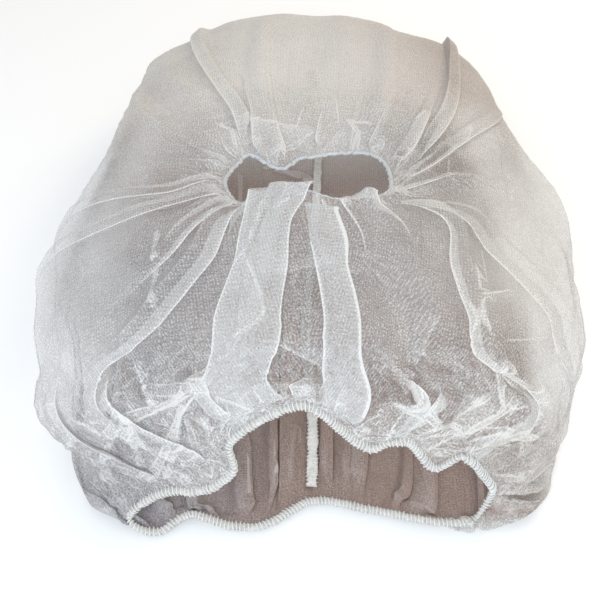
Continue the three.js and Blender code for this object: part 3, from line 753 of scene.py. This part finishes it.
cover = plain_cover + (fibres - 0.5) * 0.32 + (bond - 0.35) * 0.22 + (clouds - 0.5) * 0.25
cover = cover + line * 0.6 + folded * 0.26 + sum(mark[name] * share for name, share in covering)
sheer = cover.math("MAXIMUM", least_cover)
# The painted shade also makes the cloth more opaque, so that the pale floor shows less through it.
alpha = (sheer + mark["painted_shade_cover"] * 0.5).math("MINIMUM", most_cover)
grain = fibres * 0.8 + bond * 0.2
# The fold lines also lighten the white: painted highlights along the folds.
white = (fibres * 0.5 + bond * 0.3 + line).tint((0.70, 0.70, 0.71, 1), (0.88, 0.88, 0.875, 1))
# Painted warm light: the white is tinted yellow at the crown and on the right.
painted_warm_light = mark["painted_warm_light"].tint((1, 1, 1, 1), (0.985, 0.95, 0.885, 1))
white = base.node("ShaderNodeMix", {0: 1.0, 6: white, 7: painted_warm_light}, 2, data_type="RGBA", blend_type="MULTIPLY")
# Brown painted shade, standing for shaded cloth over a dark table, darker inside the neck.
brown_painted_shade = (grain - mark["neck_shade"] * 0.35).tint((0.250, 0.180, 0.156, 1), (0.44, 0.333, 0.295, 1))
# Grey painted shade under the painted cool light on the left.
grey_painted_shade = grain.tint((0.21, 0.20, 0.22, 1), (0.38, 0.37, 0.40, 1))
painted_shade_colour = (mark["painted_cool_light"] * 0.85).tint(brown_painted_shade, grey_painted_shade)
# The base colour goes from white to the painted shade by its mask, less where strips lie folded.
plug(cloth_shader, "Base Color", (mark["seen_through_shade"] * (1 - folded * 0.45)).tint(white, painted_shade_colour))
plug(cloth_shader, "Roughness", 0.75 - bond * 0.25)
bumps(cloth_shader, fibres * 0.6 - bond * 0.4, 0.2, 0.0003)
glow = base.node("ShaderNodeBsdfTranslucent", {"Color": (0.80, 0.79, 0.77, 1)})
clear = base.node("ShaderNodeBsdfTransparent")
solid = Shade(base.tree, cloth_shader.outputs[0])
body = base.node("ShaderNodeMixShader", {0: 0.3 - mark["seen_through_shade"] * 0.3, 1: solid, 2: glow})
veil = base.node("ShaderNodeMixShader", {0: alpha, 1: clear, 2: body})
base.tree.links.new(veil.socket, base.tree.nodes["Material Output"].inputs["Surface"])
hood.data.materials.append(cloth)
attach(hood, "root")
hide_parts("hood")

# Back seam: the overlocked join of the two halves of the hood, down the middle of the back.
# Its allowance lies inside as a narrow crumpled strip, bound all along by a looped thread.
seam_width, seam_lift, seam_sway, seam_waves, seam_bow = 5.0, 0.9, 1.6, 2.5, 7.0
seam_first, seam_last, seam_points, stitch_pitch = 0.60, 0.992, 260, 2.3
seam_light, seam_dark = (0.80, 0.79, 0.77, 1), (0.66, 0.64, 0.61, 1)
binding_light, binding_dark = (0.86, 0.85, 0.82, 1), (0.70, 0.68, 0.64, 1)
seam_thick, seam_dense, seam_faint = 0.45, 0.75, 0.8
binding_half, binding_thick = seam_width / 2 + 0.2, 0.75
binding_radius, binding_uneven, binding_seed = 0.28, 0.06, 3
# Looks of thread and of cloth in several layers: scale and detail of the specks, roughness and how much the
# specks add to it, strength and depth of their bumps.
thread_look, layers_look = (2600, 2, 0.62, 0.2, 0.4, 0.0003), (900, 3, 0.7, 0.15, 0.5, 0.0005)


def even_along(path, field, count, to_end):
    """A field kept along a path, read at places that are spaced evenly by length, and the path's length."""
    gone = way_along(path)
    at = np.linspace(0, gone[-1], count, endpoint=to_end)
    return np.stack([np.interp(at, gone, field[:, k]) for k in range(3)], -1), gone[-1]


def frames_along(path, guide, closed):
    """Unit directions across a path: sideways towards a guide direction, and square to that."""
    ahead = unit(np.roll(path, -1, 0) - np.roll(path, 1, 0) if closed else np.gradient(path, axis=0))
    side = unit(guide - ahead * (guide * ahead).sum(-1, keepdims=True))
    return side, np.cross(ahead, side)


def tube(path, guide, half_side, half_top, closed, corners=10):
    """Oval profile carried along a path: half widths may change along it."""
    side, top = frames_along(path, guide, closed)
    angle = np.arange(corners) * 2 * np.pi / corners
    wide, high = (np.broadcast_to(half, len(path))[:, None, None] for half in (half_side, half_top))
    ring = path[:, None] + wide * side[:, None] * np.cos(angle)[None, :, None]
    return ring + high * top[:, None] * np.sin(angle)[None, :, None]


def wound_thread(path, guide, turns, half_side, half_top, radius, closed, uneven, seed):
    """Thread wound round a band: an oval screw line about the band's path, with loops a little uneven."""
    points_per_turn = 12
    count = turns * points_per_turn
    at = np.arange(count) / count * (len(path) if closed else len(path) - 1)
    i = at.astype(int)
    t = (at - i)[:, None]
    j = (i + 1) % len(path) if closed else np.minimum(i + 1, len(path) - 1)
    side, top = frames_along(path, guide, closed)
    centre, side, top = (field[i] * (1 - t) + field[j] * t for field in (path, side, top))
    chance = np.random.default_rng(seed)
    swell = 1 + uneven * np.repeat(chance.normal(size=turns), points_per_turn)
    swell = (0.25 * np.roll(swell, 1) + 0.5 * swell + 0.25 * np.roll(swell, -1))[:, None]
    angle = (np.arange(count) * 2 * np.pi / points_per_turn)[:, None]
    round_it = half_side * swell * side * np.cos(angle) + half_top * swell * top * np.sin(angle)
    return tube(centre + round_it, unit(round_it), radius, radius, closed, 4)


def speckled(name, look, light, dark, dense=1.0, faint=0.0):
    """Spun thread or several layers of non-woven: specks from dark to light with bumps of the same specks,
    at least so dense between them. A faint one thins out under the chin."""
    scale, detail, rough, rougher, bump, depth = look
    made, shader, base = new_material(name)
    spot = base.node("ShaderNodeTexCoord", output=3)
    specks = spot.speckle(scale, detail)
    along = spot.parts()[1]
    under_chin = along.steps(-0.13, -0.09) * (1 - along.steps(0.02, 0.04))
    plug(shader, "Base Color", specks.steps(0.3, 0.7).tint(dark, light))
    plug(shader, "Alpha", (dense + (1 - dense) * specks.steps(0.25, 0.5)) * (1 - faint * under_chin))
    plug(shader, "Roughness", rough + specks * rougher)
    bumps(shader, specks, bump, depth)
    return made


on_seam = (station >= seam_first) & (station <= seam_last)
seam_path, seam_length = even_along(sheet[on_seam, 0], sheet[on_seam, 0], seam_points, True)
seam_t = np.linspace(0, 1, seam_points)
seam_turn = 2 * np.pi * seam_t
seam_path[:, 0] += seam_sway * np.sin(seam_waves * seam_turn)
seam_path[:, 0] += seam_bow * np.sin(np.pi * rise(seam_t, 0, 0.56)) ** 2
seam_path[:, 2] += seam_lift + 0.8 * rise(seam_t, 0.6, 0.3) + 0.35 * np.sin(19 * seam_turn) ** 2
sideways = np.repeat([[1.0, 0.0, 0.0]], seam_points, 0)
seam_half = seam_width / 2 * (1 + 0.12 * np.sin(23 * seam_turn) + 0.08 * np.sin(41 * seam_turn + 1))
seam_strip = grid_piece("back_seam_strip", tube(seam_path, sideways, seam_half, seam_thick, False), False)
seam_strip.data.materials.append(
    speckled("seam_allowance", layers_look, seam_light, seam_dark, seam_dense, seam_faint))
seam_wound = wound_thread(seam_path, sideways, int(seam_length / stitch_pitch), binding_half, binding_thick,
                          binding_radius, False, binding_uneven, binding_seed)
seam_thread = grid_piece("back_seam_thread", seam_wound, False)
seam_thread.data.materials.append(
    speckled("seam_thread", thread_look, binding_light, binding_dark, faint=seam_faint))
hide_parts("back_seam")
for piece in (seam_strip, seam_thread):
    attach(piece, "root")

# Face hem: the edge of the face opening, turned over a thin elastic and sewn down.
# The relaxed elastic draws it into a narrow rolled rim with small puckers.
face_half, face_thick, face_points, face_dense = 1.1, 0.65, 900, 0.6
face_light, face_dark = (0.62, 0.645, 0.67, 1), (0.48, 0.50, 0.52, 1)


def hem_run(bends, station_end, station_inside, lead, count):
    """Evenly spaced points of a hem line, with the evened direction in which the sheet runs out over it."""
    turn = np.linspace(0, 2 * np.pi, 720, endpoint=False)
    edge = closed_curve(bends, turn)
    out = unit(smooth_hood(turn, 0 * turn + station_end) - smooth_hood(turn, 0 * turn + station_inside))
    out = sum(np.roll(out, k, 0) for k in range(-20, 21)) / 41 + np.array(lead)
    across = frames_along(edge, out, True)[0]
    shut, out = (np.concatenate([field, field[:1]]) for field in (edge, across))
    out, length = even_along(shut, out, count, False)
    return even_along(shut, shut, count, False)[0], out, length


def ripples(count, waves, shift):
    """Three sine waves round a hem, each smaller than the last and shifted against it."""
    turn = np.linspace(0, 2 * np.pi, count, endpoint=False)
    sizes = (0.5, 0.3, 0.2)
    return sum(size * np.sin(wave * turn + k * shift) for k, (size, wave) in enumerate(zip(sizes, waves)))


face_line, face_out, _ = hem_run(face_bends, 0.0, 0.02, (0, 0, 0), face_points)
pucker = ripples(face_points, (47, 71, 103), 1)
face_path = face_line + face_out * (face_half * 0.7 + 0.35 * pucker[:, None])
slim = 1 - 0.45 * rise(face_line[:, 1], -25, -25)
face_side, face_top = face_half * slim * (1 + 0.16 * pucker), face_thick * slim * (1 + 0.22 * pucker)
face_rim = grid_piece("face_rim", tube(face_path, face_out, face_side, face_top, True), True)
face_rim.data.materials.append(speckled("face_rim_cloth", layers_look, face_light, face_dark, face_dense))
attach(face_rim, "root")
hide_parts("face_hem")

# Neck hem: the edge of the neck opening with a round elastic in it, overlocked all round.
# The thread lies in close slanting ribs over the rolled edge, which the elastic draws into waves.
neck_half, neck_thick, neck_points, neck_lowest, neck_dense = 1.75, 1.1, 1400, 1.5, 0.9
rib_pitch, rib_out, rib_radius, rib_uneven, rib_seed = 1.75, 0.2, 0.36, 0.10, 4
# The rolled cloth under the thread is coloured darker than the cloth of the hood: painted shade between the
# ribs.
neck_light, neck_dark = (0.64, 0.625, 0.60, 1), (0.44, 0.425, 0.40, 1)
overlock_light, overlock_dark = (0.86, 0.86, 0.845, 1), (0.66, 0.65, 0.625, 1)
neck_line, neck_out, neck_length = hem_run(neck_bends, 1.0, 0.985, (0, -0.7, 0), neck_points)
wave = ripples(neck_points, (39, 64, 91), 2)
neck_path = neck_line + neck_out * (neck_half * 0.9 + 0.25 * wave[:, None])
neck_path[:, 2] = np.maximum(neck_path[:, 2], neck_lowest)
neck_side, neck_top = neck_half * (1 + 0.06 * wave), neck_thick * (1 + 0.1 * wave)
neck_core = grid_piece("neck_band", tube(neck_path, neck_out, neck_side, neck_top, True), True)
neck_core.data.materials.append(speckled("neck_band_cloth_painted_shade", layers_look, neck_light, neck_dark, neck_dense))
neck_wound = wound_thread(neck_path, neck_out, int(neck_length / rib_pitch), neck_half + rib_out,
                          neck_thick + rib_out, rib_radius, True, rib_uneven, rib_seed)
neck_thread = grid_piece("neck_overlock", neck_wound, True)
neck_thread.data.materials.append(speckled("overlock_thread", thread_look, overlock_light, overlock_dark))
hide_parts("neck_hem")
for piece in (neck_core, neck_thread):
    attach(piece, "root")

# Floor, light and camera: a pale matt floor under a pale sky, a warm window at the far right and a cool
# lamp in front. Place, aim and lens of the camera were fitted to the photograph's outline of the hood.
floor_mesh = bpy.data.meshes.new("floor")
floor_mesh.from_pydata([(-4, -4, 0), (4, -4, 0), (4, 4, 0), (-4, 4, 0)], [], [(0, 1, 2, 3)])
floor = put("floor", floor_mesh)
floor_paint, floor_shader, _ = new_material("pale_floor")
floor_shader.inputs["Base Color"].default_value = (0.93, 0.93, 0.93, 1)
floor_shader.inputs["Roughness"].default_value = 0.9
floor_mesh.materials.append(floor_paint)
world = bpy.data.worlds.new("studio")
bpy.context.scene.world = world
world.use_nodes = True
sky = world.node_tree.nodes["Background"].inputs
sky["Color"].default_value = (0.95, 0.97, 1.0, 1)
sky["Strength"].default_value = 0.72
bpy.context.scene.view_settings.view_transform = "Standard"
# Lamps: name, place, size, power and colour.
lamps = [
    ("window", (0.6, 0.6, 0.7), 0.5, 3.4, (1.0, 0.80, 0.52)),
    ("fill", (-0.1, -0.9, 0.8), 0.6, 8.2, (0.86, 0.94, 1.0)),
]
for name, stand, size, power, colour in lamps:
    lamp = bpy.data.lights.new(name, "AREA")
    lamp.energy = power
    lamp.size = size
    lamp.color = colour
    lamp_piece = put(name, lamp)
    lamp_piece.location = stand
    lamp_piece.rotation_euler = (-Vector(stand)).to_track_quat("-Z", "Y").to_euler()
eye = Vector((0, -0.398 - middle_y * 0.001, 0.365))
aim = Vector((-0.0049, -0.033 - middle_y * 0.001, 0))
lens = bpy.data.cameras.new("camera")
lens.lens = 54.3
lens.sensor_width = 36
lens.clip_start = 0.01
camera = put("camera", lens)
camera.location = eye
camera.rotation_euler = (aim - eye).to_track_quat("-Z", "Y").to_euler()
bpy.context.scene.camera = camera
